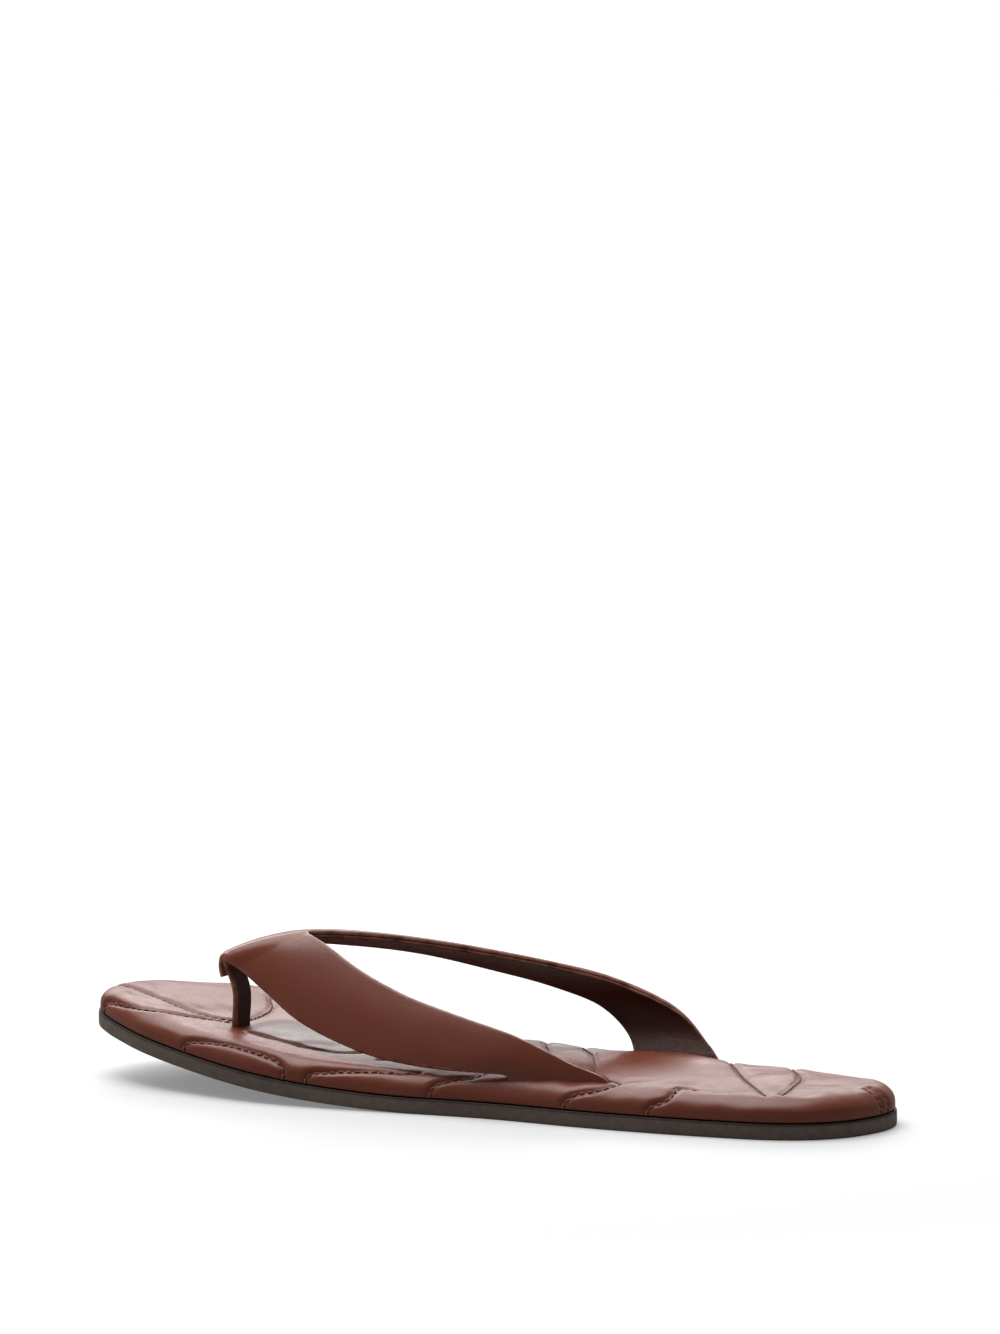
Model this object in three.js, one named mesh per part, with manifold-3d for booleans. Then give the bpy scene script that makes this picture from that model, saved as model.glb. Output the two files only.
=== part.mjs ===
// A right-foot leather flip flop: quilted footbed on a thin springy sole, a V strap and a toe post.
// Millimetres, +Z up, toe towards +Y, outer side of the foot towards +X.
import * as THREE from 'three';
import { mergeVertices } from 'three/addons/utils/BufferGeometryUtils.js';
import Module from 'manifold-3d';

const wasm = await Module();
wasm.setup();

// ---- Driving dimensions ----
const soleLength = 258;
const heelWidth = 62;
const waistWidth = 70;
const ballWidth = 91;
const toeWidth = 72;
const toeSpring = 16; // height of the toe tip's underside above the floor
const flatLength = 134; // the sole lies flat from the heel to here
const springPower = 1.7; // how sharply the sole curls up towards the toe

const outsoleThickness = 4.6;
const outsoleBevel = 0.6;
const marginWidth = 10; // how far the cover is turned under the insole board
const coverLeather = 1.0;
const boardThickness = 1.4;
const foamThickness = 1.3;
const backingThickness = 0.3;
const waddingThickness = 0.8;
const clearance = 0.3; // between pieces that touch

const wallInset = 0.5; // the padded wall stands this far inside the outsole's edge
const rollWidth = 7.5; // the cover rolls over the edge in a quarter ellipse
const rollHeight = 5.6;

const strapLeather = 1.2;
const strapLining = 0.8;
const strapCrown = 1.2; // how far the middle of the strap's width bulges out
const strapHeight = 33.8; // from the footbed to the rear notch of the V
const strapFrontFromToe = 45.5; // from the toe tip back to the front of the V
const slotClearance = 0.6;
const tabLength = 13; // strap and post ends are turned under the insole board
const tabThickness = 0.8;
const tabSetback = 2; // a strap's tab is this much narrower than its slot at each end
const foldWidth = 8; // the strap's front edge is folded down over the post
const foldHeight = 6;

const postWidth = 8;
const postLeather = 1.2;
const postLining = 0.8;
const postLean = 3; // the post's top is this far ahead of its foot
const postSideLean = 1.5;
const postBow = 1; // how far the middle of the post bends back

const threadThickness = 0.5;

// ---- Heights of the layers over the flat part of the sole ----
const marginBottom = outsoleThickness + clearance;
const marginTop = marginBottom + coverLeather;
const boardBottom = marginTop + clearance;
const boardTop = boardBottom + boardThickness;
const foamBottom = boardTop + clearance;
const foamTop = foamBottom + foamThickness;
const backingBottom = foamTop + clearance;
const backingTop = backingBottom + backingThickness;
const waddingBottom = backingTop + clearance;
const waddingTop = waddingBottom + waddingThickness;
const padTop = waddingTop + clearance + coverLeather;

// ---- Plan of the sole ----
// Each point: the width it belongs to, its side share of half that width, its share of the length.
const outlinePoints = [
  [heelWidth, 0.13, 0.0],
  [heelWidth, -0.52, 0.025],
  [heelWidth, -0.87, 0.078],
  [heelWidth, -1.03, 0.163],
  [waistWidth, -1.0, 0.302],
  [waistWidth, -1.0, 0.442],
  [ballWidth, -0.87, 0.581],
  [ballWidth, -0.93, 0.713],
  [ballWidth, -0.83, 0.83],
  [toeWidth, -0.86, 0.918],
  [toeWidth, -0.5, 0.99],
  [toeWidth, 0.03, 0.996],
  [toeWidth, 0.57, 0.961],
  [ballWidth, 0.87, 0.885],
  [ballWidth, 1.04, 0.775],
  [ballWidth, 1.05, 0.657],
  [ballWidth, 0.92, 0.535],
  [waistWidth, 0.97, 0.388],
  [waistWidth, 0.86, 0.233],
  [heelWidth, 0.95, 0.105],
  [heelWidth, 0.65, 0.023],
];
const outline = new THREE.CatmullRomCurve3(
  outlinePoints.map(([width, side, along]) => new THREE.Vector3((side * width) / 2, along * soleLength, 0)),
  true,
);
outline.arcLengthDivisions = 800;

// The outline is four sides, which meet at these shares of its length round from the heel.
const heelCorner = 0.05;
const toeCornerInner = 0.455;
const toeCornerOuter = 0.545;

function edgePoint(share, inset) {
  const wrapped = (share + 1) % 1;
  const point = outline.getPointAt(wrapped);
  const tangent = outline.getTangentAt(wrapped);
  return new THREE.Vector2(point.x + inset * tangent.y, point.y - inset * tangent.x);
}

// A point of the sole's plan, drawn in by inset: across 0..1 inner to outer side, along 0..1 heel to toe.
function planPoint(across, along, inset) {
  const { lerp } = THREE.MathUtils;
  const heelSide = edgePoint(lerp(heelCorner, -heelCorner, across), inset);
  const toeSide = edgePoint(lerp(toeCornerInner, toeCornerOuter, across), inset);
  const innerSide = edgePoint(lerp(heelCorner, toeCornerInner, along), inset);
  const outerSide = edgePoint(lerp(1 - heelCorner, toeCornerOuter, along), inset);
  const corners = [
    [edgePoint(heelCorner, inset), (1 - across) * (1 - along)],
    [edgePoint(-heelCorner, inset), across * (1 - along)],
    [edgePoint(toeCornerInner, inset), (1 - across) * along],
    [edgePoint(toeCornerOuter, inset), across * along],
  ];
  const point = new THREE.Vector2();
  point.addScaledVector(heelSide, 1 - along).addScaledVector(toeSide, along);
  point.addScaledVector(innerSide, 1 - across).addScaledVector(outerSide, across);
  for (const [corner, weight] of corners) {
    point.addScaledVector(corner, -weight);
  }
  return point;
}

function springAt(y) {
  const share = Math.max(0, (y - flatLength) / (soleLength - flatLength));
  return toeSpring * share ** springPower;
}

// ---- Helpers ----
const columns = 6;
const rows = 26;

// A closed layer of the sole, from rings of inset and height that run from its top round to its bottom.
function soleLayer(rings) {
  const geometry = new THREE.BoxGeometry(1, 1, 1, columns, rows, rings.length - 1);
  const position = geometry.attributes.position;
  for (let i = 0; i < position.count; i += 1) {
    const ring = rings[Math.round((0.5 - position.getZ(i)) * (rings.length - 1))];
    const plan = planPoint(position.getX(i) + 0.5, position.getY(i) + 0.5, ring.inset);
    position.setXYZ(i, plan.x, plan.y, ring.height + springAt(plan.y));
  }
  return geometry;
}

// The padded edge's quarter ellipse, from the top (0 degrees) to the wall (90), at a depth under the skin.
function rollRing(degrees, depth) {
  const angle = THREE.MathUtils.degToRad(degrees);
  return {
    inset: wallInset + rollWidth - (rollWidth - depth) * Math.sin(angle),
    height: padTop - rollHeight + (rollHeight - depth) * Math.cos(angle),
  };
}

// How far in a layer's edge stands at a height, to keep under the cover.
function roomInset(height) {
  const depth = coverLeather + clearance;
  const rise = Math.max(0, height - (padTop - rollHeight)) / (rollHeight - depth);
  return wallInset + rollWidth - (rollWidth - depth) * Math.sqrt(1 - rise * rise);
}

function innerLayer(bottom, top) {
  return soleLayer([
    { inset: roomInset(top), height: top },
    { inset: roomInset(bottom), height: bottom },
  ]);
}

function toSolid(geometry) {
  const bare = geometry.clone();
  bare.deleteAttribute('normal');
  bare.deleteAttribute('uv');
  const merged = mergeVertices(bare, 1e-4);
  return new wasm.Manifold(new wasm.Mesh({
    numProp: 3,
    vertProperties: new Float32Array(merged.attributes.position.array),
    triVerts: new Uint32Array(merged.index.array),
  }));
}

function toGeometry(solid) {
  const mesh = solid.getMesh();
  const geometry = new THREE.BufferGeometry();
  geometry.setAttribute('position', new THREE.BufferAttribute(mesh.vertProperties, 3));
  geometry.setIndex(new THREE.BufferAttribute(mesh.triVerts, 1));
  geometry.computeVertexNormals();
  return geometry;
}

function cut(geometry, tools) {
  return toGeometry(tools.reduce((solid, tool) => solid.subtract(toSolid(tool)), toSolid(geometry)));
}

function join(pieces) {
  return toGeometry(pieces.map(toSolid).reduce((solid, piece) => solid.add(piece)));
}

// A plain block laid on the sole's curve: its height counts from the flat part's floor.
function drapedBlock(sizeX, sizeY, sizeZ, place) {
  const geometry = new THREE.BoxGeometry(sizeX, sizeY, sizeZ, 1, 4, 1).applyMatrix4(place);
  const position = geometry.attributes.position;
  for (let i = 0; i < position.count; i += 1) {
    position.setZ(i, position.getZ(i) + springAt(position.getY(i)));
  }
  return geometry;
}

// ---- Strap shape ----
// Matching points of the strap's two edges, from the inner slot over the V to the outer slot: side share
// of half the ball width, share of the way from the heel to the front of the V, share of the strap's height.
const rearEdge = [
  [-0.55, 0.381, 0.0], [-0.58, 0.43, 0.157], [-0.593, 0.494, 0.334], [-0.56, 0.588, 0.467],
  [-0.484, 0.682, 0.592], [-0.374, 0.774, 0.775], [-0.264, 0.838, 0.941], [-0.19, 0.872, 0.995],
  [-0.155, 0.881, 1.0], [-0.14, 0.881, 1.0], [-0.1, 0.872, 0.998],
  [-0.022, 0.826, 0.991], [0.143, 0.753, 0.944], [0.308, 0.659, 0.861], [0.451, 0.565, 0.757],
  [0.56, 0.471, 0.627], [0.615, 0.376, 0.393], [0.582, 0.326, 0.157], [0.52, 0.292, 0.0],
];
const frontEdge = [
  [-0.659, 0.504, 0.0], [-0.685, 0.535, 0.034], [-0.7, 0.58, 0.044], [-0.685, 0.645, 0.054],
  [-0.64, 0.728, 0.1], [-0.535, 0.85, 0.296], [-0.44, 0.918, 0.512], [-0.385, 0.965, 0.675],
  [-0.363, 0.998, 0.763], [-0.209, 1.0, 0.802], [-0.066, 0.981, 0.852],
  [0.11, 0.946, 0.882], [0.352, 0.866, 0.84], [0.56, 0.776, 0.763], [0.714, 0.682, 0.633],
  [0.78, 0.598, 0.515], [0.755, 0.516, 0.375], [0.66, 0.458, 0.156], [0.565, 0.424, 0.0],
];
const strapReach = soleLength - strapFrontFromToe;
const halfFaceGap = clearance / 2; // leather and lining lie this far from the strap's middle surface

function strapPoint([side, reach, rise]) {
  return new THREE.Vector3((side * ballWidth) / 2, reach * strapReach, padTop + rise * strapHeight);
}

function strapRail(edge, endHeight) {
  const points = edge.map(strapPoint);
  const innerEnd = points[0].clone().setZ(endHeight);
  const outerEnd = points.at(-1).clone().setZ(endHeight);
  return new THREE.CatmullRomCurve3([innerEnd, ...points, outerEnd]);
}

// A sheet that follows the strap between two depths from its middle surface; both ends drop into the slots.
// An overhang is the share of the strap's width that the sheet runs out past the front edge.
function strapSheet(low, high, endHeight, overhang = 0) {
  const front = strapRail(frontEdge, endHeight);
  const rear = strapRail(rearEdge, endHeight);
  const spans = front.points.length - 1;
  const middle = (across, along) => front.getPoint(along).lerp(rear.getPoint(along), across);
  const geometry = new THREE.BoxGeometry(1, 1, 1, 4, 2 * spans, 1);
  const position = geometry.attributes.position;
  for (let i = 0; i < position.count; i += 1) {
    const across = (position.getX(i) + 0.5) * (1 + overhang) - overhang;
    const along = position.getY(i) + 0.5;
    const step = 0.004;
    const before = middle(across, Math.max(0, along - step));
    const after = middle(across, Math.min(1, along + step));
    const alongDirection = after.sub(before);
    const acrossDirection = rear.getPoint(along).sub(front.getPoint(along));
    const normal = acrossDirection.cross(alongDirection).normalize();
    const fromEnd = spans * Math.min(along, 1 - along);
    const bulge = 4 * Math.max(0, across) * (1 - across) * THREE.MathUtils.smoothstep(fromEnd, 1, 3);
    const depth = position.getZ(i) > 0 ? high : low;
    const point = middle(across, along).addScaledVector(normal, strapCrown * bulge + depth);
    position.setXYZ(i, point.x, point.y, point.z);
  }
  return geometry;
}

// The straight stretch of sheet inside a slot, and the way its tab is turned in under the board.
function slotAt(rearPoint, frontPoint, inward) {
  const rear = strapPoint(rearPoint);
  const front = strapPoint(frontPoint);
  const length = rear.distanceTo(front);
  const angle = Math.atan2(front.y - rear.y, front.x - rear.x) - Math.PI / 2;
  const middle = rear.clone().lerp(front, 0.5);
  return { length, angle, middle, inward };
}

const slots = [
  slotAt(rearEdge[0], frontEdge[0], 1),
  slotAt(rearEdge.at(-1), frontEdge.at(-1), -1),
];

function placed(slot, inwardShift, height) {
  const turn = new THREE.Matrix4().makeRotationZ(slot.angle);
  const shift = new THREE.Matrix4().makeTranslation(slot.inward * inwardShift, 0, height);
  const move = new THREE.Matrix4().makeTranslation(slot.middle.x, slot.middle.y, 0);
  return move.multiply(turn).multiply(shift);
}

const tallEnough = 3 * padTop + toeSpring;

function slotCutter(slot) {
  const width = 2 * (halfFaceGap + Math.max(strapLeather, strapLining) + slotClearance);
  return new THREE.BoxGeometry(width, slot.length + 2 * slotClearance, tallEnough)
    .applyMatrix4(placed(slot, 0, outsoleThickness + tallEnough / 2));
}

function strapTab(slot, growth) {
  const outerFace = halfFaceGap + strapLeather / 2;
  const length = tabLength + outerFace;
  const shift = (tabLength - outerFace) / 2;
  const place = placed(slot, shift, marginBottom + tabThickness / 2);
  const width = slot.length - 2 * tabSetback;
  return drapedBlock(length + 2 * growth, width + 2 * growth, tabThickness + 2 * growth, place);
}

// ---- Toe post shape ----
const frontFaceY = strapReach; // front of the strap's folded edge
const postThickness = postLeather + clearance + postLining;
const postTopY = frontFaceY - strapLeather - clearance - postThickness / 2;
const postFootY = postTopY - postLean;
const foldMiddle = strapPoint(frontEdge[8]).lerp(strapPoint(frontEdge[9]), 0.5);
const postFootX = foldMiddle.x - postSideLean;
const postFootHeight = marginBottom + springAt(postFootY);
const postTopHeight = foldMiddle.z;

const postPath = new THREE.CatmullRomCurve3([
  new THREE.Vector3(postFootX, postFootY, postFootHeight),
  new THREE.Vector3(postFootX, postFootY, padTop + springAt(postFootY)),
  new THREE.Vector3(
    (postFootX + foldMiddle.x) / 2,
    postFootY - postBow,
    (padTop + springAt(postFootY) + postTopHeight) / 2,
  ),
  new THREE.Vector3(foldMiddle.x, postTopY, postTopHeight),
]);

function postSheet(back, front, startHeight) {
  const geometry = new THREE.BoxGeometry(postWidth, 1, 1, 1, 1, 10);
  const position = geometry.attributes.position;
  for (let i = 0; i < position.count; i += 1) {
    const point = postPath.getPoint(position.getZ(i) + 0.5);
    const depth = position.getY(i) > 0 ? front : back;
    const height = Math.max(point.z, startHeight + springAt(point.y + depth));
    position.setXYZ(i, point.x + position.getX(i), point.y + depth, height);
  }
  return geometry;
}

function postTab(direction, growth) {
  const innerFace = clearance / 2;
  const length = tabLength - innerFace;
  const middleY = postFootY + direction * (innerFace + length / 2);
  const place = new THREE.Matrix4().makeTranslation(postFootX, middleY, marginBottom + tabThickness / 2);
  return drapedBlock(postWidth + 2 * growth, length + 2 * growth, tabThickness + 2 * growth, place);
}

function postCutter() {
  const width = postWidth + 2 * slotClearance;
  const depth = postThickness + 2 * slotClearance;
  return new THREE.BoxGeometry(width, depth, 3 * tallEnough).translate(postFootX, postFootY, 0);
}

// ---- Quilting ----
// Each seam's way over the footbed, as shares across (inner to outer side) and along (heel to toe). A third
// number is for a spot on the padded edge: how many degrees round the roll it lies. A seam whose end is on a
// side of the plan and has no third number runs down the padded wall there.
const seams = [
  [[0.08, 1], [0.088, 1, 72], [0, 0.982, 45], [0, 0.941, 18], [0.06, 0.9], [0.13, 0.872], [0.278, 0.822],
    [0.33, 0.812]],
  [[0.35, 1], [0.33, 0.965], [0.3, 0.92], [0.25, 0.87], [0.3, 0.828], [0.385, 0.808], [0.5, 0.806],
    [0.6, 0.812], [0.7, 0.826], [0.8, 0.848], [1, 0.885]],
  [[0.182, 0.778], [0.168, 0.732], [0.132, 0.67], [0.19, 0.633], [0.4, 0.6], [0.73, 0.59], [1, 0.6]],
  [[0, 0.849], [0, 0.845, 72], [0, 0.829, 57], [0, 0.782, 36], [0, 0.754, 36], [0, 0.734, 39], [0, 0.711, 48],
    [0, 0.697, 62], [0, 0.694]],
  [[0.14, 0.59], [0.2, 0.572], [0.35, 0.548], [0.55, 0.53], [0.8, 0.52], [1, 0.5]],
  [[0, 0.663], [0, 0.66, 72], [0, 0.634, 57], [0, 0.596, 39], [0, 0.558, 27], [0, 0.519, 21]],
  [[0, 0.499], [0, 0.496, 66], [0, 0.482, 48], [0, 0.465, 36], [0, 0.448, 28], [0.06, 0.435], [0.16, 0.43],
    [0.35, 0.425], [0.55, 0.43], [0.8, 0.44], [1, 0.46]],
  [[0, 0.319], [0, 0.311, 66], [0, 0.299, 51], [0, 0.275, 33], [0.05, 0.26], [0.12, 0.275], [0.25, 0.312],
    [0.45, 0.345], [0.65, 0.365], [0.865, 0.38], [1, 0.4]],
  [[0, 0.208], [0, 0.201, 72], [0, 0.185, 51], [0, 0.18, 27], [0.04, 0.184], [0.068, 0.178], [0.048, 0.16]],
  [[1, 0.185], [0.9, 0.183], [0.775, 0.182], [0.6, 0.17], [0.49, 0.158], [0.3, 0.125], [0.12, 0.09],
    [0.008, 0.065]],
  [[1, 0.103], [0.825, 0.105], [0.6, 0.1], [0.402, 0.092], [0.2, 0.07], [0.052, 0.05]],
  [[0.445, 0]],
  [[0.515, 0]],
];
const facetAllowance = 0.3; // the cover's flat facets lie this near its true curve
const threadLift = clearance + facetAllowance + threadThickness / 2;
const wallSteps = [88, 62, 36, 12]; // degrees round the roll, from the wall up to the footbed

function isOnWall([across, along, degrees]) {
  return degrees === undefined && (across === 0 || across === 1 || along === 0 || along === 1);
}

function skinPoint([across, along, degrees = 0]) {
  const ring = rollRing(degrees, -threadLift);
  const plan = planPoint(across, along, ring.inset);
  return new THREE.Vector3(plan.x, plan.y, ring.height + springAt(plan.y));
}

// The points up the wall at a seam's end, to where its next spot lies.
function wallPoints([across, along], next = []) {
  const steps = wallSteps.filter((degrees) => degrees > (next[2] ?? 0));
  return steps.map((degrees) => skinPoint([across, along, degrees]));
}

function quiltThread(seam) {
  const points = seam.filter((spot) => !isOnWall(spot)).map(skinPoint);
  if (isOnWall(seam[0])) {
    points.unshift(...wallPoints(seam[0], seam[1]));
  }
  if (seam.length > 1 && isOnWall(seam.at(-1))) {
    points.push(...wallPoints(seam.at(-1), seam.at(-2)).toReversed());
  }
  const path = new THREE.CatmullRomCurve3(points);
  const half = threadThickness / 2;
  const corners = [[-half, 0], [0, -half], [half, 0], [0, half]];
  const section = new THREE.Shape(corners.map(([x, y]) => new THREE.Vector2(x, y)));
  const steps = 2 * points.length;
  return new THREE.ExtrudeGeometry(section, { extrudePath: path, steps, bevelEnabled: false });
}

// ---- Materials ----
function material(color, roughness) {
  return new THREE.MeshStandardMaterial({ color, roughness, metalness: 0 });
}

const nappa = material(0x7a4136, 0.45);
const liningLeather = material(0x4a2a22, 0.6);
const soleRubber = material(0x3a211b, 0.6);
const fibreboard = material(0xb59a78, 0.9);
const felt = material(0x8c8478, 0.95);
const latexFoam = material(0xd8cfb8, 0.9);
const scrim = material(0xc9c2b4, 0.95);
const wadding = material(0xe6e2d8, 0.95);
const thread = material(0x9a5f4c, 0.7);

// ---- Assembly ----
const group = new THREE.Group();

function addPiece(name, geometry, look) {
  const mesh = new THREE.Mesh(geometry, look);
  mesh.name = name;
  group.add(mesh);
}

const slotCutters = [...slots.map(slotCutter), postCutter()];
const tabWindows = [
  ...slots.map((slot) => strapTab(slot, clearance)),
  postTab(1, clearance),
  postTab(-1, clearance),
];

function outsole() {
  return soleLayer([
    { inset: outsoleBevel, height: outsoleThickness },
    { inset: 0, height: outsoleThickness - outsoleBevel },
    { inset: 0, height: outsoleBevel },
    { inset: outsoleBevel, height: 0 },
  ]);
}

function bottomFiller() {
  const inset = wallInset + marginWidth + clearance;
  const felting = soleLayer([{ inset, height: marginTop }, { inset, height: marginBottom }]);
  return cut(felting, [...slotCutters, ...tabWindows]);
}

function footbedCover() {
  const rollAngles = [0, 25, 50, 72, 90];
  const tuck = coverLeather; // radius of the turn under the board
  const skin = rollAngles.map((degrees) => rollRing(degrees, 0));
  const lining = rollAngles.toReversed().map((degrees) => rollRing(degrees, coverLeather));
  const turnedUnder = [
    { inset: wallInset + tuck / 4, height: marginBottom + tuck / 2 },
    { inset: wallInset + tuck, height: marginBottom },
    { inset: wallInset + marginWidth, height: marginBottom },
    { inset: wallInset + marginWidth, height: marginTop },
    { inset: wallInset + coverLeather + tuck / 4, height: marginTop },
  ];
  return cut(soleLayer([...skin, ...turnedUnder, ...lining]), [...slotCutters, ...tabWindows]);
}

// The strap's front edge folded down; with a growth, all that lies less than that behind it, or ahead of it.
function strapFold(growth) {
  const height = foldHeight + strapLeather / 2;
  const depth = strapLeather + (growth > 0 ? 2 * foldHeight : 0);
  const middleZ = foldMiddle.z + halfFaceGap + strapLeather / 2 - height / 2;
  return new THREE.BoxGeometry(foldWidth + 2 * growth, depth, height + 2 * growth)
    .translate(foldMiddle.x, frontFaceY - strapLeather - growth + depth / 2, middleZ);
}

function strapLeatherPiece() {
  const sheet = strapSheet(halfFaceGap, halfFaceGap + strapLeather, marginBottom);
  return join([sheet, strapFold(0), ...slots.map((slot) => strapTab(slot, 0))]);
}

function strapLiningPiece() {
  const sheet = strapSheet(-halfFaceGap - strapLining, -halfFaceGap, boardBottom);
  return cut(sheet, [strapFold(clearance)]);
}

// What the post keeps clear of: the strap's lining over its top, and the folded edge in front of it.
function underStrap() {
  return [
    strapSheet(-halfFaceGap - strapLining - clearance, halfFaceGap + 3 * strapLeather, boardBottom, 0.2),
    strapFold(clearance),
  ];
}

function postLeatherPiece() {
  const front = postThickness / 2;
  const sheet = postSheet(front - postLeather, front, marginBottom);
  return cut(join([sheet, postTab(1, 0)]), underStrap());
}

function postLiningPiece() {
  const back = -postThickness / 2;
  const sheet = postSheet(back, back + postLining, marginBottom);
  return cut(join([sheet, postTab(-1, 0)]), underStrap());
}

addPiece('outsole', outsole(), soleRubber);
addPiece('bottom_filler', bottomFiller(), felt);
addPiece('insole_board', cut(innerLayer(boardBottom, boardTop), slotCutters), fibreboard);
addPiece('footbed_foam', cut(innerLayer(foamBottom, foamTop), slotCutters), latexFoam);
addPiece('quilt_backing', cut(innerLayer(backingBottom, backingTop), slotCutters), scrim);
addPiece('quilt_wadding', cut(innerLayer(waddingBottom, waddingTop), slotCutters), wadding);
addPiece('footbed_cover', footbedCover(), nappa);
addPiece('strap_leather', strapLeatherPiece(), nappa);
addPiece('strap_lining', strapLiningPiece(), liningLeather);
addPiece('toe_post_leather', postLeatherPiece(), nappa);
addPiece('toe_post_lining', postLiningPiece(), liningLeather);
seams.forEach((seam, index) => {
  addPiece(`quilt_thread_${String(index + 1).padStart(2, '0')}`, quiltThread(seam), thread);
});

// The origin is the middle of the object's box, on the floor.
const box = new THREE.Box3().setFromObject(group);
const middle = box.getCenter(new THREE.Vector3());
group.position.set(-middle.x, -middle.y, -box.min.z);

export default group;
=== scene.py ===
# %% [markdown]
# # A leather flip flop
#
# A right-foot sandal: a thin sole that curls up at the toe, a padded footbed under quilted nappa, a wide
# V strap and a flat toe post. The part's solids come in first and stay as they are. Each visible leather
# piece is then built again, finer, in the same place, and stands for its solid.

# %% Load the part
import math

import bpy
import numpy as np
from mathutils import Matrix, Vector
from mathutils.bvhtree import BVHTree


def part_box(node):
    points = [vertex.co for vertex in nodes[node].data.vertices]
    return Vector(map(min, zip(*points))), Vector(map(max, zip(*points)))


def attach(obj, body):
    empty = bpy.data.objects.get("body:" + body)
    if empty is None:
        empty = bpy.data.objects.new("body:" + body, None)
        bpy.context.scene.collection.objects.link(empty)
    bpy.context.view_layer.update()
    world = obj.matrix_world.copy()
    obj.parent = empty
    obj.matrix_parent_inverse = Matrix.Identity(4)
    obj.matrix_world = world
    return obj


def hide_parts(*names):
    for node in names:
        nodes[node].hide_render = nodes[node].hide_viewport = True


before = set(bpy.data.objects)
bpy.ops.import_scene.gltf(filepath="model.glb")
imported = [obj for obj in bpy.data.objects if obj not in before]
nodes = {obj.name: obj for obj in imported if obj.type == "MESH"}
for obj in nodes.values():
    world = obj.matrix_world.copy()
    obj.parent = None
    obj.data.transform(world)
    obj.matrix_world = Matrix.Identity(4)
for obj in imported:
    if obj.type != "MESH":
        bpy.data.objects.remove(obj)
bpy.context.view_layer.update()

MM = 0.001

# %% [markdown]
# ## Camera
#
# The sandal is seen from behind its inner side, a little above the floor, through a long lens. The lens
# flattens the shape, so the camera stands far back. It turns about the vertical by an azimuth and looks
# down by an elevation. The aim lies above the sandal, so that the sandal sits low in the picture.

# %% Camera
camera_azimuth = math.radians(-62.0)
camera_height_angle = math.radians(9.73)
camera_distance = 1.8
look_azimuth = math.radians(-62.15)
look_down = math.radians(5.63)
sole_low, sole_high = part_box("outsole")
heel_y = sole_low.y
aim_x = 0.5 * (sole_low.x + sole_high.x) - 3.07 * MM
sole_middle = Vector((aim_x, heel_y + 131 * MM, 0))

camera_data = bpy.data.cameras.new("camera")
camera_data.lens = 161.6
camera_data.sensor_width = 36
camera = bpy.data.objects.new("camera", camera_data)
bpy.context.scene.collection.objects.link(camera)
away = Vector((
    math.sin(camera_azimuth) * math.cos(camera_height_angle),
    -math.cos(camera_azimuth) * math.cos(camera_height_angle),
    math.sin(camera_height_angle),
))
camera.location = sole_middle + camera_distance * away
camera.rotation_euler = (math.pi / 2 - look_down, 0, look_azimuth)
bpy.context.scene.camera = camera
print("camera stands at", [round(value, 3) for value in camera.location])

# %% [markdown]
# ## Helpers
#
# Every piece is a plain list of points and faces, worked out with numpy. One function turns those lists
# into a smooth shaded object, and can store a mask per point, which a material reads as an attribute.

# %% Mesh helper
def make_object(name, points, faces, masks=None, smooth=True):
    mesh = bpy.data.meshes.new(name)
    mesh.from_pydata(np.asarray(points).tolist(), [], [tuple(int(i) for i in face) for face in faces])
    mesh.polygons.foreach_set("use_smooth", [smooth] * len(mesh.polygons))
    for mask, values in (masks or {}).items():
        attribute = mesh.attributes.new(mask, "FLOAT", "POINT")
        attribute.data.foreach_set("value", np.asarray(values, dtype=np.float32).ravel())
    made = bpy.data.objects.new(name, mesh)
    bpy.context.scene.collection.objects.link(made)
    return made


def point_normals(piece):
    normals = np.empty(3 * len(piece.data.vertices), dtype=np.float32)
    piece.data.vertex_normals.foreach_get("vector", normals)
    return normals.reshape(-1, 3).astype(float)


def ease(value, low, high):
    share = np.clip((value - low) / (high - low), 0, 1)
    return share * share * (3 - 2 * share)


# %% Soft unevenness
def swell(points, size, seed):
    """A smooth uneven value between about -1 and 1, whose hills are about size metres across."""
    random = np.random.default_rng(seed)
    total = np.zeros(len(points))
    waves = 9
    for _ in range(waves):
        direction = random.normal(size=3)
        direction *= random.uniform(0.6, 1.4) * math.pi / size / np.linalg.norm(direction)
        total += np.sin(points @ direction + random.uniform(0, 2 * math.pi))
    return total / math.sqrt(waves)


# %% [markdown]
# ## The sole's outline and curl
#
# All the layers share one plan. Its points are read off the sole's solid: the sole's edge is bevelled, so
# the points on its full outline span less height than the rest. A smooth curve runs through them, and the
# plan is filled from four sides of that curve, which gives a grid that follows the outline.

# %% Outline
sole_thickness = 4.6 * MM
sole_bevel = 0.6 * MM


def node_points(name):
    mesh = nodes[name].data
    points = np.empty(3 * len(mesh.vertices))
    mesh.vertices.foreach_get("co", points)
    return np.unique(points.reshape(-1, 3).round(6), axis=0)


def read_outline():
    columns = {}
    for x, y, z in node_points("outsole"):
        columns.setdefault((round(x, 5), round(y, 5)), []).append(z)
    full_height = sole_thickness - sole_bevel
    ring = np.array([
        place for place, heights in columns.items() if max(heights) - min(heights) < full_height
    ])
    middle = ring.mean(axis=0)
    angle = np.arctan2(ring[:, 0] - middle[0], ring[:, 1] - middle[1])
    return ring[np.argsort(angle)]


def smooth_loop(ring, samples):
    steps = np.linspace(0, 1, samples, endpoint=False)[:, None]
    pieces = []
    before_all, end_all, after_all = (np.roll(ring, step, 0) for step in (1, -1, -2))
    for before, start, end, after in zip(before_all, ring, end_all, after_all):
        slope_start, slope_end = (end - before) / 2, (after - start) / 2
        pieces.append(
            start + slope_start * steps
            + (3 * (end - start) - 2 * slope_start - slope_end) * steps ** 2
            + (2 * (start - end) + slope_start + slope_end) * steps ** 3
        )
    return np.vstack(pieces)


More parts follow.
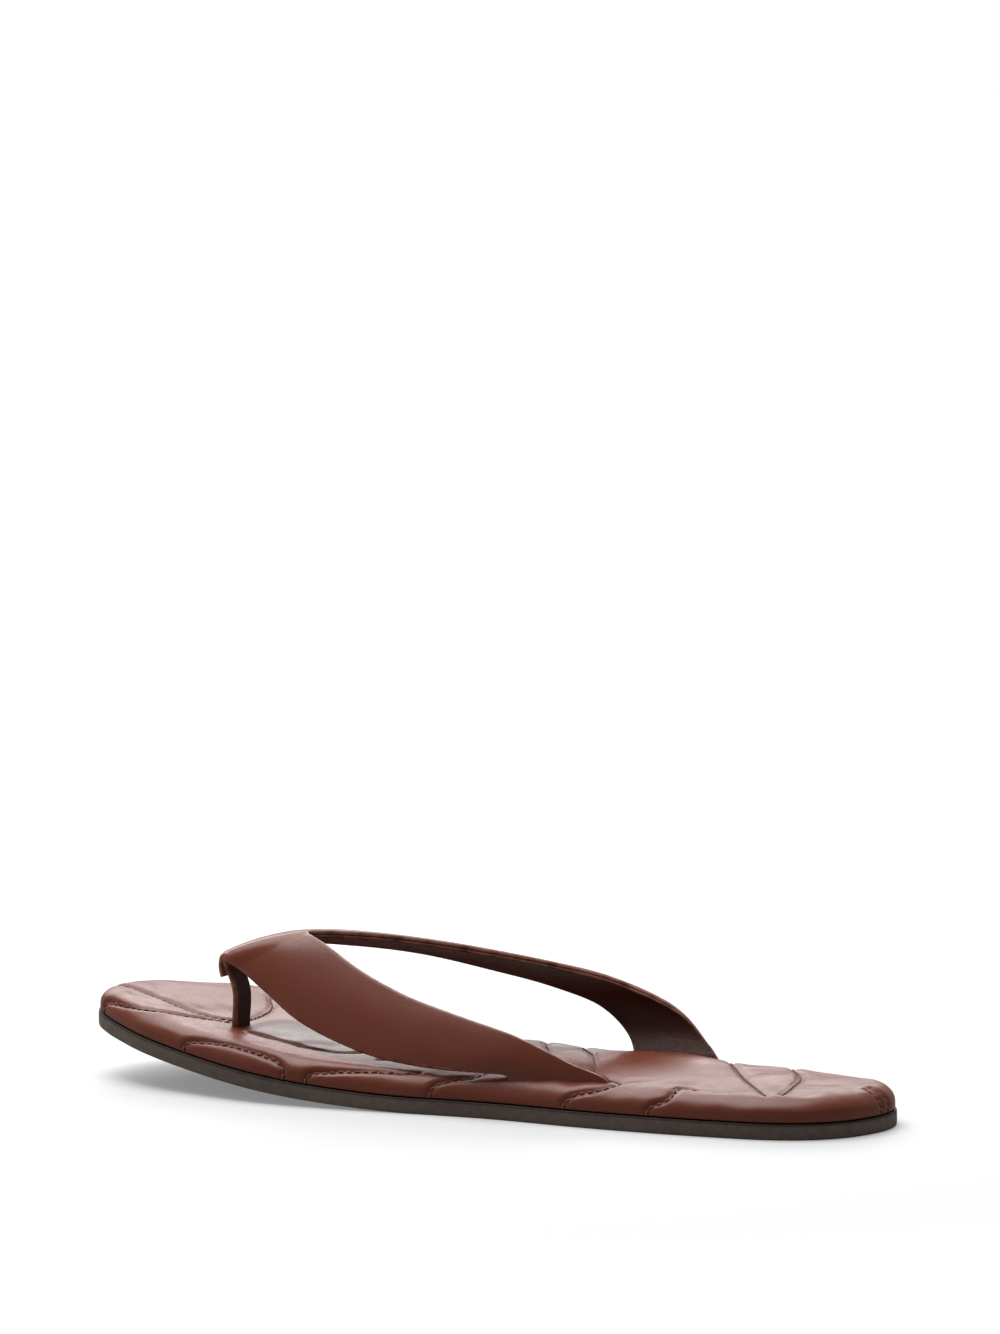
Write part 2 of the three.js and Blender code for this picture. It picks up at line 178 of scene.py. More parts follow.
outline = smooth_loop(read_outline(), 24)
outline = np.roll(outline, -int(np.argmin(outline[:, 1])), axis=0)
outline = np.vstack([outline, outline[:1]])
outline_lengths = np.r_[0, np.cumsum(np.linalg.norm(np.diff(outline, axis=0), axis=1))]
outline_shares = outline_lengths / outline_lengths[-1]
outline_slopes = np.gradient(outline, axis=0)
outline_slopes[0] = outline_slopes[-1] = outline[1] - outline[-2]
outline_slopes /= np.linalg.norm(outline_slopes, axis=1)[:, None]
print("outline length in mm:", round(outline_lengths[-1] / MM, 1))

# %% Plan and curl
heel_corner = 0.05
toe_corner_inner = 0.455
toe_corner_outer = 0.545
sole_length = 258 * MM
flat_length = 134 * MM
toe_spring = 16 * MM
spring_power = 1.7


def edge_point(share, inset):
    share = np.mod(share, 1)
    x, y, slope_x, slope_y = (
        np.interp(share, outline_shares, column)
        for column in (outline[:, 0], outline[:, 1], outline_slopes[:, 0], outline_slopes[:, 1])
    )
    return np.stack([x + inset * slope_y, y - inset * slope_x], axis=-1)


def plan_point(across, along, inset):
    """Points of the plan drawn in by inset: across 0..1 inner to outer side, along 0..1 heel to toe."""
    a, b = across[:, None], along[:, None]
    heel_side = edge_point(heel_corner * (1 - 2 * across), inset)
    toe_side = edge_point(toe_corner_inner + (toe_corner_outer - toe_corner_inner) * across, inset)
    inner_side = edge_point(heel_corner + (toe_corner_inner - heel_corner) * along, inset)
    outer_side = edge_point(1 - heel_corner + (toe_corner_outer - 1 + heel_corner) * along, inset)
    corners = (
        (1 - a) * (1 - b) * edge_point(heel_corner, inset) + a * (1 - b) * edge_point(-heel_corner, inset)
        + (1 - a) * b * edge_point(toe_corner_inner, inset) + a * b * edge_point(toe_corner_outer, inset)
    )
    return heel_side * (1 - b) + toe_side * b + inner_side * (1 - a) + outer_side * a - corners


def spring(y):
    share = np.clip((y - heel_y - flat_length) / (sole_length - flat_length), 0, None)
    return toe_spring * share ** spring_power


# %% Layer of the sole
def layer(columns, rows, top, rings, closed=False):
    """Points, faces and how far out each point is, for a layer with a top face and rings that go round it.

    top and each ring are (inset, height over the flat); a closed layer gets a face under its last ring."""
    across, along = (grid.ravel() for grid in np.meshgrid(
        np.linspace(0, 1, columns + 1), np.linspace(0, 1, rows + 1), indexing="ij"))
    index = np.arange(len(across)).reshape(columns + 1, rows + 1)
    loop = np.r_[index[:-1, 0], index[-1, :-1], index[:0:-1, -1], index[0, :0:-1]]

    def lift(flat, height):
        return np.column_stack([flat, height + spring(flat[:, 1])])

    parts = [lift(plan_point(across, along, top[0]), top[1])]
    faces = np.column_stack([index[:-1, :-1].ravel(), index[1:, :-1].ravel(), index[1:, 1:].ravel(),
                             index[:-1, 1:].ravel()]).tolist()
    ring_number = [np.zeros(len(across))]
    last = loop
    count = len(across)
    for number, (inset, height) in enumerate(rings, start=1):
        parts.append(lift(plan_point(across[loop], along[loop], inset), height))
        ring = count + np.arange(len(loop))
        faces += np.column_stack([last, ring, np.roll(ring, -1), np.roll(last, -1)]).tolist()
        ring_number.append(np.full(len(loop), number))
        count += len(loop)
        last = ring
    if closed:
        inside = np.setdiff1d(index.ravel(), loop)
        under = np.full(len(across), -1)
        under[loop] = last
        under[inside] = count + np.arange(len(inside))
        parts.append(lift(plan_point(across[inside], along[inside], rings[-1][0]), rings[-1][1]))
        ring_number.append(np.full(len(inside), len(rings) + 1))
        under = under.reshape(index.shape)
        faces += np.column_stack([under[:-1, :-1].ravel(), under[:-1, 1:].ravel(), under[1:, 1:].ravel(),
                                  under[1:, :-1].ravel()]).tolist()
    return np.vstack(parts), faces, np.concatenate(ring_number)


# %% [markdown]
# ## Floor and light
#
# A wide white disc is the floor. To the camera it glows: a little near the sandal, which pales the shadows
# there with painted light, and fully far off, so that it meets the white background with no horizon. To
# everything but the camera it is a mid grey, which keeps its light on the leather's sides low.
# One soft box hangs behind the sandal and draws the pale sheen on its top. A larger one hangs above it.

# %% Node helpers
def add(tree, kind, inputs=None, **settings):
    """Adds a shader node; an input is given as a value or as the socket that feeds it."""
    node = tree.nodes.new("ShaderNode" + kind)
    for setting, value in settings.items():
        setattr(node, setting, value)
    for key, value in (inputs or {}).items():
        if isinstance(value, bpy.types.NodeSocket):
            tree.links.new(value, node.inputs[key])
        else:
            node.inputs[key].default_value = value
    return node


def calculate(tree, operation, *values):
    return add(tree, "Math", dict(enumerate(values)), operation=operation).outputs[0]


def blend(tree, factor, first, second):
    """Mixes two colours."""
    return add(tree, "Mix", {0: factor, 6: first, 7: second}, data_type="RGBA").outputs[2]


def new_material(name):
    material = bpy.data.materials.new(name)
    material.use_nodes = True
    tree = material.node_tree
    tree.nodes.clear()
    shader = add(tree, "BsdfPrincipled")
    add(tree, "OutputMaterial", {"Surface": shader.outputs[0]})
    return material, tree, shader


# %% Floor
floor_sides = 96
floor_rings = [0.3, 1.0, 3.0, 10.0, 30.0]
turns = np.linspace(0, 2 * math.pi, floor_sides, endpoint=False)
floor_points = [(0, 0, 0)] + [
    (radius * math.cos(turn), radius * math.sin(turn), 0) for radius in floor_rings for turn in turns
]
floor_faces = [(0, 1 + k, 1 + (k + 1) % floor_sides) for k in range(floor_sides)]
for ring in range(len(floor_rings) - 1):
    start = 1 + ring * floor_sides
    for k in range(floor_sides):
        after = (k + 1) % floor_sides
        floor_faces.append((start + k, start + floor_sides + k, start + floor_sides + after, start + after))
floor = make_object("studio_floor", floor_points, floor_faces)
print("floor radius in m:", floor_rings[-1])

# %% Floor finish
floor_material, tree, shader = new_material("white_studio_floor")
shader.inputs["Roughness"].default_value = 0.6
shader.inputs["Specular IOR Level"].default_value = 0.1
shader.inputs["Emission Color"].default_value = (1, 1, 1, 1)
seen = add(tree, "LightPath").outputs["Is Camera Ray"]
floor_color = blend(tree, seen, (0.32, 0.31, 0.3, 1), (0.86, 0.86, 0.86, 1))
tree.links.new(floor_color, shader.inputs["Base Color"])
# Painted light: the glow is 0.22 near the sandal, which pales its shadows, and rises to 1 far off.
spot = add(tree, "TexCoord").outputs["Object"]
distance = add(tree, "VectorMath", {0: spot}, operation="LENGTH").outputs["Value"]
glow = add(tree, "MapRange", {"Value": distance, 1: 0.22, 2: 0.9, 3: 0.22, 4: 1.0}).outputs[0]
glow = calculate(tree, "MULTIPLY", seen, glow)
tree.links.new(glow, shader.inputs["Emission Strength"])
floor.data.materials.append(floor_material)
print("floor finish:", floor_material.name)


# %% Lights
def soft_box(name, place, size, power, aim=(0, 0, 0)):
    light = bpy.data.lights.new(name, "AREA")
    light.shape = "RECTANGLE"
    light.size, light.size_y = size
    light.energy = power
    lamp = bpy.data.objects.new(name, light)
    lamp.location = place
    lamp.rotation_euler = (Vector(aim) - Vector(place)).to_track_quat("-Z", "Y").to_euler()
    bpy.context.scene.collection.objects.link(lamp)
    return lamp


soft_box("back_box", (1.15, 0.75, 0.75), (1.3, 0.6), 8)
soft_box("top_box", (0.2, 0.5, 1.5), (1.3, 1.3), 18)
print("soft boxes: back_box and top_box")

# %% World
world = bpy.data.worlds.new("studio")
world.use_nodes = True
tree = world.node_tree
tree.nodes.clear()
facing = add(tree, "TexCoord").outputs["Generated"]
behind = add(tree, "VectorMath", {0: facing, 1: (0.65, 0.75, 0.3)}, operation="DOT_PRODUCT").outputs["Value"]
room_light = add(tree, "MapRange", {"Value": behind, 1: -0.7, 2: 0.8, 3: 0.13, 4: 0.34}).outputs[0]
seen = add(tree, "LightPath").outputs["Is Camera Ray"]
strength = calculate(tree, "MAXIMUM", room_light, seen)
background = add(tree, "Background", {"Color": (1, 1, 1, 1), "Strength": strength})
add(tree, "OutputWorld", {"Surface": background.outputs[0]})
bpy.context.scene.world = world
bpy.context.scene.view_settings.view_transform = "Standard"
print("world:", world.name)

# %% [markdown]
# ## Leather
#
# Smooth nappa has a very fine pebbled grain, soft creases where it bends, and a tone that drifts from
# patch to patch. Shade is painted into the leather: it is darker down in a seam and along the sole's top
# edge. Where a strap's edge is rubbed it is lighter, which is partly wear and partly a painted highlight.
# These effects are in every leather piece, so each is a node group with its own dials. The points are in
# metres and sit on the object, so the grain keeps its real scale on every piece.

# %% Group helper
def new_group(name, inputs, outputs):
    """An empty node group; inputs and outputs are name: (kind, default) and name: kind."""
    group = bpy.data.node_groups.new(name, "ShaderNodeTree")
    for label, (kind, default) in inputs.items():
        socket = group.interface.new_socket(label, in_out="INPUT", socket_type="NodeSocket" + kind)
        socket.default_value = default
    for label, kind in outputs.items():
        group.interface.new_socket(label, in_out="OUTPUT", socket_type="NodeSocket" + kind)
    return group, group.nodes.new("NodeGroupInput").outputs, group.nodes.new("NodeGroupOutput").inputs


def place_group(tree, group, inputs):
    node = add(tree, "Group", node_tree=group)
    for label, value in inputs.items():
        if isinstance(value, bpy.types.NodeSocket):
            tree.links.new(value, node.inputs[label])
        else:
            node.inputs[label].default_value = value
    return node.outputs


# %% Grain group
grain_group, given, result = new_group(
    "leather_grain",
    {"Pebbles Per Metre": ("Float", 1300.0), "Crease Share": ("Float", 0.4)},
    {"Height": "Float", "Pores": "Float"},
)
tree = grain_group
spot = add(tree, "TexCoord").outputs["Object"]
warp = add(tree, "TexNoise", {"Vector": spot, "Scale": 420.0, "Detail": 2.0})
warped = add(tree, "VectorMath", {0: warp.outputs["Color"], "Scale": 0.0012}, operation="SCALE").outputs[0]
warped = add(tree, "VectorMath", {0: spot, 1: warped}, operation="ADD").outputs[0]
pebble = add(tree, "TexVoronoi", {"Vector": warped, "Scale": given["Pebbles Per Metre"]}, feature="F1")
pore = add(tree, "MapRange", {"Value": pebble.outputs["Distance"], 1: 0.35, 2: 0.8})
crease = add(tree, "TexNoise", {"Vector": warped, "Scale": 170.0, "Detail": 3.0, "Roughness": 0.6})
fold = calculate(tree, "ABSOLUTE", calculate(tree, "SUBTRACT", crease.outputs[0], 0.5))
fold = add(tree, "MapRange", {"Value": fold, 1: 0.0, 2: 0.06})
creased = calculate(tree, "MULTIPLY", fold.outputs[0], given["Crease Share"])
height = calculate(tree, "SUBTRACT", creased, pore.outputs[0])
tree.links.new(height, result["Height"])
tree.links.new(pore.outputs[0], result["Pores"])

# %% Tone group
tone_group, given, result = new_group(
    "leather_tone",
    {
        "Deep": ("Color", (0.1, 0.03, 0.02, 1)), "Middle": ("Color", (0.2, 0.07, 0.05, 1)),
        "Rubbed And Highlit": ("Color", (0.4, 0.2, 0.14, 1)), "Pores": ("Float", 0.0),
        "Painted Shade": ("Float", 0.0), "Rim Wear And Highlight": ("Float", 0.0), "Roughness": ("Float", 0.4),
    },
    {"Color": "Color", "Roughness": "Float"},
)
tree = tone_group
spot = add(tree, "TexCoord").outputs["Object"]
patches = add(tree, "TexNoise", {"Vector": spot, "Scale": 22.0, "Detail": 3.0, "Roughness": 0.55}).outputs[0]
specks = add(tree, "TexNoise", {"Vector": spot, "Scale": 240.0, "Detail": 2.0}).outputs[0]
drift = add(tree, "Mix", {0: 0.2, 2: patches, 3: specks}).outputs[0]
drift = add(tree, "MapRange", {"Value": drift, 1: 0.36, 2: 0.62, 3: 0.22, 4: 0.0}).outputs[0]
color = blend(tree, drift, given["Middle"], given["Deep"])
color = blend(tree, calculate(tree, "MULTIPLY", given["Pores"], 0.16), color, given["Deep"])
# Painted shade: darker in the seams and along the sole's top edge.
color = blend(tree, calculate(tree, "MULTIPLY", given["Painted Shade"], 0.9), color, given["Deep"])
# Lighter rim: partly rubbed wear, partly a painted highlight along a strap's edges.
rim_speckle = add(tree, "MapRange", {"Value": specks, 1: 0.3, 2: 0.6}).outputs[0]
rim_wear_and_highlight_share = calculate(tree, "MULTIPLY", given["Rim Wear And Highlight"], rim_speckle)
color = blend(tree, rim_wear_and_highlight_share, color, given["Rubbed And Highlit"])
tree.links.new(color, result["Color"])
rough = calculate(tree, "ADD", given["Roughness"], calculate(tree, "MULTIPLY", drift, 0.45))
rough = calculate(tree, "ADD", rough, calculate(tree, "MULTIPLY", given["Pores"], 0.08))
tree.links.new(rough, result["Roughness"])


# %% Leather maker
def leather(name, deep, middle, rubbed_and_highlit, roughness, pebbles, crease_share, bump, coat=0.0):
    material, tree, shader = new_material(name)
    grain = place_group(tree, grain_group, {"Pebbles Per Metre": pebbles, "Crease Share": crease_share})
    # These masks carry painted shade, and rubbed wear with a painted edge highlight.
    painted_shade = add(tree, "Attribute", attribute_name="painted_shade").outputs["Fac"]
    rim_wear_and_highlight = add(tree, "Attribute", attribute_name="rim_wear_and_highlight").outputs["Fac"]
    tone = place_group(tree, tone_group, {
        "Deep": (*deep, 1), "Middle": (*middle, 1), "Rubbed And Highlit": (*rubbed_and_highlit, 1), "Pores": grain["Pores"],
        "Painted Shade": painted_shade, "Rim Wear And Highlight": rim_wear_and_highlight, "Roughness": roughness,
    })
    bumped = add(tree, "Bump", {"Height": grain["Height"], "Strength": 1.0, "Distance": bump})
    tree.links.new(tone["Color"], shader.inputs["Base Color"])
    tree.links.new(tone["Roughness"], shader.inputs["Roughness"])
    tree.links.new(bumped.outputs[0], shader.inputs["Normal"])
    shader.inputs["Coat Weight"].default_value = coat
    shader.inputs["Coat Roughness"].default_value = 0.32
    return material


nappa = leather("reddish_brown_nappa", (0.11, 0.020, 0.008), (0.29, 0.062, 0.027), (0.55, 0.27, 0.19),
                0.3, 1700.0, 0.15, 0.000012, coat=0.12)
# The lining's dark tone is partly its own and partly painted shade, on the strap's underside and the post's
# back.
lining_leather_and_shade = leather("dark_lining_and_painted_shade", (0.03, 0.008, 0.004), (0.075, 0.02, 0.011), (0.3, 0.1, 0.06),
                         0.6, 900.0, 0.7, 0.00006)
sole_finish = leather("burnished_sole_edge", (0.02, 0.014, 0.011), (0.25, 0.19, 0.16), (0.36, 0.29, 0.25),
                      0.45, 500.0, 0.5, 0.00003)
print("leathers:", nappa.name, lining_leather_and_shade.name, sole_finish.name)

# %% [markdown]
# ## Quilted cover
#
# The footbed's leather lies over wadding and is sewn down along a few wandering seams, then pulled round
# the padded edge and down the wall. Between the seams it stands up in soft pads. The seams' lines come
# from the part's own threads: each is a thin bar whose rings of four corners give the points of its line.

# %% Heights of the skin
wall_inset = 0.5 * MM
roll_width = 7.5 * MM
roll_height = 5.6 * MM
pad_top = 12.2 * MM
wall_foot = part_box("footbed_cover")[0].z


def roll_ring(degrees):
    angle = math.radians(degrees)
    return (
        wall_inset + roll_width * (1 - math.sin(angle)),
        pad_top - roll_height * (1 - math.cos(angle)),
    )


# %% Seam lines
def thread_line(name):
    corners = node_points(name)
    middles = []
    while len(corners):
        near = np.linalg.norm(corners - corners[0], axis=1) < 0.6 * MM
        middles.append(corners[near].mean(axis=0))
        corners = corners[~near]
    middles = np.array(middles)

    def chain(start):
        left = list(range(len(middles)))
        order = [left.pop(start)]
        length = 0.0
        while left:
            gaps = np.linalg.norm(middles[left] - middles[order[-1]], axis=1)
            nearest = int(np.argmin(gaps))
            length += gaps[nearest]
            order.append(left.pop(nearest))
        return length, order

    return middles[min(chain(start) for start in range(len(middles)))[1]]


def resample(line, step):
    lengths = np.r_[0, np.cumsum(np.linalg.norm(np.diff(line, axis=0), axis=1))]
    places = np.linspace(0, lengths[-1], max(2, round(lengths[-1] / step) + 1))
    return np.column_stack([np.interp(places, lengths, line[:, axis]) for axis in range(3)])


thread_names = sorted(name for name in nodes if name.startswith("quilt_thread_"))
seam_lines = [resample(thread_line(name), 2.0 * MM) for name in thread_names]
print("seams:", len(seam_lines), "longest in mm:",
      round(max(len(line) for line in seam_lines) * 2.0, 0))

# %% Plain skin
skin_columns = 36
skin_rows = 104
roll_steps = 6
skin_rings = [roll_ring(degrees) for degrees in np.linspace(0, 90, roll_steps + 1)[1:]]
turned_under = ((0, 1.1), (0, 0.5), (0.1, 0.15), (0.5, 0), (2, 0), (10, 0))
skin_rings += [(wall_inset + inward * MM, wall_foot + height * MM) for inward, height in turned_under]
skin_points, skin_faces, skin_ring = layer(skin_columns, skin_rows, roll_ring(0), skin_rings, closed=True)
open_count = (skin_ring <= len(skin_rings)).sum()
plain_skin = BVHTree.FromPolygons(skin_points.tolist(), skin_faces)
print("skin points:", len(skin_points))


def settle(line):
    """Moves a line of points on to the plain skin."""
    return np.array([tuple(plain_skin.find_nearest(Vector(point))[0]) for point in line])


def run_down(line):
    """Lengthens a seam that ends on the wall down to the wall's foot."""
    for end in (0, -1):
        if line[end][2] < pad_top - roll_height + spring(line[end][1]) + 2 * MM:
            foot = line[end] - np.array([0, 0, 2.2 * MM])
            line = np.vstack([foot, line]) if end == 0 else np.vstack([line, foot])
    return line


seam_lines = [run_down(settle(line)) for line in seam_lines]


# %% Distance to the seams
def distance_to(points, line):
    """Each point's distance to a line, and how far along the line its nearest spot lies."""
    best = np.full(len(points), np.inf)
    place = np.zeros(len(points))
    start_length = 0.0
    for start, end in zip(line[:-1], line[1:]):
        span = end - start
        length = np.linalg.norm(span)
        share = np.clip((points - start) @ span / length ** 2, 0, 1)
        distance = np.linalg.norm(points - start - share[:, None] * span, axis=1)
        closer = distance < best
        best[closer] = distance[closer]
        place[closer] = start_length + share[closer] * length
        start_length += length
    return best, place


def nearest_seam(points):
    best = np.full(len(points), np.inf)
    place = np.zeros(len(points))
    for number, line in enumerate(seam_lines):
        distance, along = distance_to(points, line)
        closer = distance < best
        best[closer] = distance[closer]
        place[closer] = along[closer] + number * 1.0
    return best, place


# %% [markdown]
# The pads are let out by a cloth simulation. The skin is slack, and is held along its seams and at the
# wall. Light air pressure lifts it between them until its own pull stops it, so each pad gets its own
# crown. The grid is built in code instead of by a remesh, because a remesh would lose the seams' places.

# %% Cloth
held_width = 2.6 * MM
cloth_frames = 20
cloth_mass = 0.0002
cloth_pressure = 4.0
cloth_slack = 0.012
rise_limit = 1.3 * MM
sink_limit = 0.4 * MM
pinned_weight = 0.9


def let_out(points, faces, held):
    """The points after the pressure has lifted the ones that aren't held."""
    body = make_object("skin_cloth", points, faces)
    group = body.vertex_groups.new(name="held")
    for index in np.flatnonzero(held > 0.01):
        group.add([int(index)], float(held[index]), "REPLACE")
    cloth = body.modifiers.new("cloth", "CLOTH")
    settings = cloth.settings
    settings.vertex_group_mass = group.name
    settings.mass = cloth_mass
    settings.quality = 6
    settings.tension_stiffness = settings.compression_stiffness = 12
    settings.shear_stiffness = 4
    settings.bending_stiffness = 0.3
    settings.use_pressure = True
    settings.uniform_pressure_force = cloth_pressure
    settings.shrink_min = -cloth_slack
    settings.effector_weights.gravity = 0
    cloth.point_cache.frame_end = cloth_frames
    scene = bpy.context.scene
    for number in range(1, cloth_frames + 1):
        scene.frame_set(number)
    evaluated = body.evaluated_get(bpy.context.evaluated_depsgraph_get())
    moved = np.empty(3 * len(points), dtype=np.float32)
    evaluated.data.vertices.foreach_get("co", moved)
    bpy.data.objects.remove(body)
    scene.frame_set(1)
    return moved.reshape(-1, 3).astype(float)


# %% Let the pads out
start = make_object("skin_start", skin_points, skin_faces)
skin_normals = point_normals(start)
bpy.data.objects.remove(start)
seam_distance = nearest_seam(skin_points)[0]
held = 1 - ease(seam_distance, 0.5 * held_width, held_width)
held[skin_ring >= roll_steps] = 1
lifted = let_out(skin_points, skin_faces, held)
rise = ((lifted - skin_points) * skin_normals).sum(axis=1)
rise_spread = np.percentile(rise[skin_ring < roll_steps] / MM, [0, 50, 100]).round(2)
print("cloth rise in mm, least, middle and most:", rise_spread)

# %% Cap and even out the rise
limit = np.where(rise > 0, rise_limit, sink_limit)
rise = limit * np.tanh(rise / limit)
rise[skin_ring >= roll_steps] = 0
neighbours = np.array([pair for face in skin_faces for pair in zip(face, face[1:] + face[:1])])
neighbour_count = np.bincount(neighbours[:, 0], minlength=len(rise))
for _ in range(2):
    neighbour_rise = np.bincount(neighbours[:, 0], rise[neighbours[:, 1]], minlength=len(rise))
    evened = 0.5 * rise + 0.5 * neighbour_rise / np.maximum(neighbour_count, 1)
    rise = np.where(held > pinned_weight, rise, evened)
print("capped rise in mm:", (rise.min() / MM).round(2), "to", (rise.max() / MM).round(2))

# %% [markdown]
# The finer shape is too small for the cloth's grid, so it comes after it: the groove that the thread pulls
# down, little puckers beside it, a hollow round the post's foot, and the leather pushed up before the
# strap's outer foot.

# %% Sizes of the finer shape
groove_depth = 0.9 * MM
groove_width = 1.2 * MM
pucker_height = 0.09 * MM
pucker_reach = 3.5 * MM
hollow_depth = 0.9 * MM
push_height = 1.7 * MM
post_low, post_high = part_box("toe_post_leather")
post_spot = np.array([0.5 * (post_low.x + post_high.x), heel_y + 207 * MM])
outer_foot_spot = np.array([sole_high.x - 30.6 * MM, heel_y + 78.8 * MM])
print("hollow at mm:", (post_spot / MM).round(1), "pushed up at mm:", (outer_foot_spot / MM).round(1))

# %% Finer shape
def hill(points, centre, reach):
    """1 at a spot on the plan, fading out over reach (across, along)."""
    return np.exp(-(((points[:, :2] - centre) / np.array(reach)) ** 2).sum(axis=1))


def quilt_move(points, down):
    """How far the cover's points stand out or in, and how near a seam each one lies, which sets the painted
    shade in the seams.
    """
    distance, place = nearest_seam(points)
    on_wall = ease(down, roll_steps - 2, roll_steps + 1)
    groove = groove_depth * (1 - 0.5 * on_wall) * np.exp(-((distance / groove_width) ** 2))
    along_seam = np.column_stack([place, 0 * place, 0 * place])
    pucker = swell(along_seam, 2.6 * MM, 5) + 0.7 * swell(along_seam, 5.5 * MM, 6)
    pucker *= pucker_height * np.exp(-distance / pucker_reach) * (1 - np.exp(-((distance / (1.2 * MM)) ** 2)))
    soft = 0.12 * MM * swell(points, 30 * MM, 1) + 0.02 * MM * swell(points, 11 * MM, 2)
    shoulder = 1 - ease(down, 1, roll_steps - 1)
    pushed = push_height * hill(points, outer_foot_spot, (9 * MM, 17 * MM))
    hollow = hollow_depth * hill(points, post_spot, (7 * MM, 6 * MM))
    return (pucker + soft + pushed - hollow) * shoulder - groove, np.exp(-((distance / (0.8 * MM)) ** 2))


# %% Modifier and point helpers
def apply_modifiers(piece):
    evaluated = piece.evaluated_get(bpy.context.evaluated_depsgraph_get())
    finished = bpy.data.meshes.new_from_object(evaluated)
    piece.modifiers.clear()
    piece.data = finished


def mesh_points(piece):
    points = np.empty(3 * len(piece.data.vertices), dtype=np.float32)
    piece.data.vertices.foreach_get("co", points)
    return points.reshape(-1, 3).astype(float)


# %% Cover
open_faces = [face for face in skin_faces if max(face) < open_count]
open_points = (skin_points + skin_normals * rise[:, None])[:open_count]
cover = make_object("quilted_cover", open_points, open_faces, {"down": skin_ring[:open_count]})
rounder = cover.modifiers.new("rounder", "SUBSURF")
rounder.levels = rounder.render_levels = 2
apply_modifiers(cover)
down = np.empty(len(cover.data.vertices), dtype=np.float32)
cover.data.attributes["down"].data.foreach_get("value", down)
cover_points = mesh_points(cover)
print("rounded cover points:", len(cover_points))

# %% Quilting
quilt, painted_shade = quilt_move(cover_points, down)
quilt[down > roll_steps + 2] = 0
deepest = 1.05 * MM  # the wadding lies 1.3 mm under the plain cover
floor_height = pad_top - deepest + spring(cover_points[:, 1])
room = np.maximum(cover_points[:, 2] - floor_height, 0)
quilt = np.where((down < 1) & (quilt < 0), -room * np.tanh(-quilt / np.maximum(room, 1e-6)), quilt)
cover_points = cover_points + point_normals(cover) * quilt[:, None]
print("quilted from", (quilt.min() / MM).round(2), "to", (quilt.max() / MM).round(2), "mm")

# %% Leather thickness
cover_faces = [tuple(face.vertices) for face in cover.data.polygons]
bpy.data.objects.remove(cover)
# The seam mask goes on as painted shade, darker down in the seams.
cover = make_object("quilted_cover", cover_points, cover_faces, {"painted_shade": painted_shade, "rim_wear_and_highlight": 0 * painted_shade})
cover.data.materials.append(nappa)
thicken = cover.modifiers.new("leather", "SOLIDIFY")
thicken.thickness = 0.6 * MM
thicken.offset = -1
apply_modifiers(cover)
cover_surface = BVHTree.FromPolygons(cover_points.tolist(), cover_faces)
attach(cover, "root")
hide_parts("footbed_cover")
print("cover points:", len(cover.data.vertices))

# %% [markdown]
# ## Stitches
#
# A lockstitch shows as a row of short thread lengths, each diving into its needle hole. Every stitch is a
# small arched tube that follows the cover's finished surface, sunk at both ends.

# %% Thread
thread_material, tree, shader = new_material("lighter_brown_thread")
spot = add(tree, "TexCoord").outputs["Object"]
fibres = add(tree, "TexNoise", {"Vector": spot, "Scale": 5000.0, "Detail": 2.0}).outputs[0]
thread_color = blend(tree, fibres, (0.22, 0.055, 0.026, 1), (0.42, 0.14, 0.07, 1))
tree.links.new(thread_color, shader.inputs["Base Color"])
tree.links.new(add(tree, "Bump", {"Height": fibres, "Distance": 0.00004}).outputs[0], shader.inputs["Normal"])
shader.inputs["Roughness"].default_value = 0.5
shader.inputs["Sheen Weight"].default_value = 0.3
print("thread:", thread_material.name)

# %% Stitches
stitch_pitch = 2.5 * MM
stitch_share = 0.82
thread_radius = 0.28 * MM
tube_sides = 8
arch_steps = 7


def tube(line, radii, ups):
    """Points and faces of a closed tube along a line."""
    forward = np.gradient(line, axis=0)
    forward /= np.linalg.norm(forward, axis=1)[:, None]
    side = np.cross(forward, ups)
    side /= np.linalg.norm(side, axis=1)[:, None]
    top = np.cross(side, forward)
    turns = np.linspace(0, 2 * math.pi, tube_sides, endpoint=False)
    points = (
        line[:, None, :]
        + radii[:, None, None] * (np.cos(turns)[None, :, None] * side[:, None, :]
                                  + np.sin(turns)[None, :, None] * top[:, None, :])
    ).reshape(-1, 3)
    faces = []
    for ring in range(len(line) - 1):
        for k in range(tube_sides):
            a, b = ring * tube_sides + k, ring * tube_sides + (k + 1) % tube_sides
            faces.append((a, b, b + tube_sides, a + tube_sides))
    faces.append(tuple(reversed(range(tube_sides))))
    faces.append(tuple((len(line) - 1) * tube_sides + k for k in range(tube_sides)))
    return points, faces


# %% Row of stitches
arch_height = 0.34 * MM
end_depth = 0.12 * MM


def stitch_row(name, line, pitch):
    lengths = np.r_[0, np.cumsum(np.linalg.norm(np.diff(line, axis=0), axis=1))]
    count = max(1, int(lengths[-1] / pitch))
    all_points, all_faces = [], []
    for number in range(count):
        middle = (number + 0.5) * lengths[-1] / count
        places = middle + np.linspace(-0.5, 0.5, arch_steps) * pitch * stitch_share
        spots = np.column_stack([np.interp(places, lengths, line[:, axis]) for axis in range(3)])
        hits = [cover_surface.find_nearest(Vector(spot)) for spot in spots]
        spots = np.array([tuple(hit[0]) for hit in hits])
        ups = np.array([tuple(hit[1]) for hit in hits])
        arch = np.sin(np.linspace(0, math.pi, arch_steps))
        spots += ups * (arch_height * arch - end_depth)[:, None]
        radii = thread_radius * (0.55 + 0.45 * arch ** 0.5)
        points, faces = tube(spots, radii, ups)
        offset = sum(len(part) for part in all_points)
        all_points.append(points)
        all_faces += [tuple(offset + i for i in face) for face in faces]
    row = make_object(name, np.vstack(all_points), all_faces)
    row.data.materials.append(thread_material)
    return row, count


